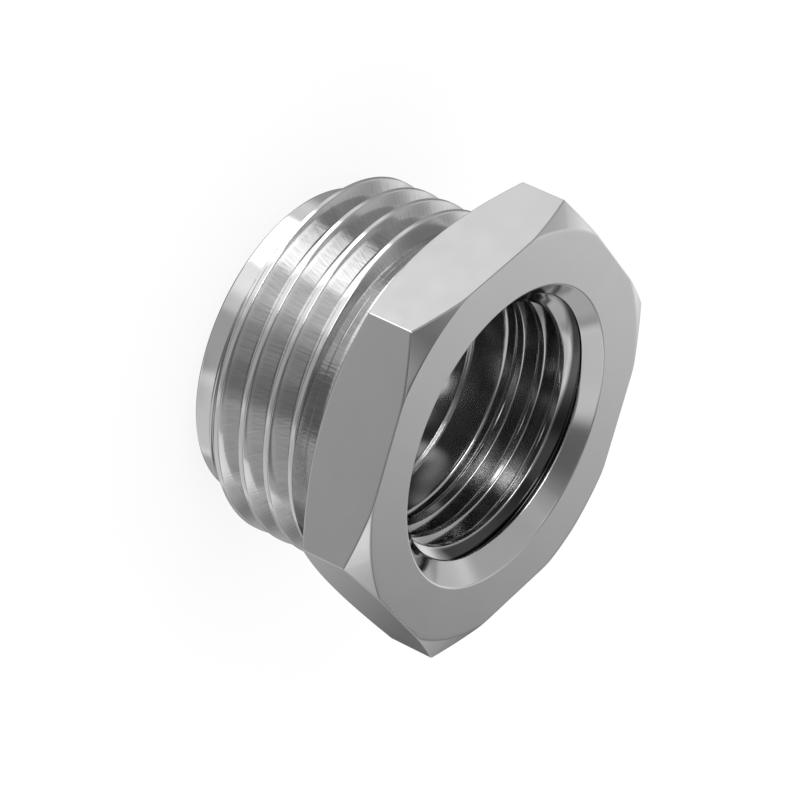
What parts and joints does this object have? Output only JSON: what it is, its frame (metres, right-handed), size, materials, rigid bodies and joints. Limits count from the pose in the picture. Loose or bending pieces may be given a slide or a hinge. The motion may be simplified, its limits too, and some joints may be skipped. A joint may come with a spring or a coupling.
{
  "type": "garden hose adapter",
  "caption": "Short plated hex adapter: female pipe thread in the hexagon head, male hose thread and plain pilot below, with an open water way right through.",
  "frame": {"origin": "centre of the plain pilot face that the adapter stands on", "axes": "+Z along the thread axis, from the pilot face towards the hexagon head; +X through a corner of the hexagon"},
  "size_m": [0.0346, 0.03, 0.0186],
  "materials": {
    "plated_metal": "bright nickel plate over turned brass, polished on the outside"
  },
  "bodies": {
    "root": {"adapter_body": "plated_metal"}
  },
  "joints": []
}
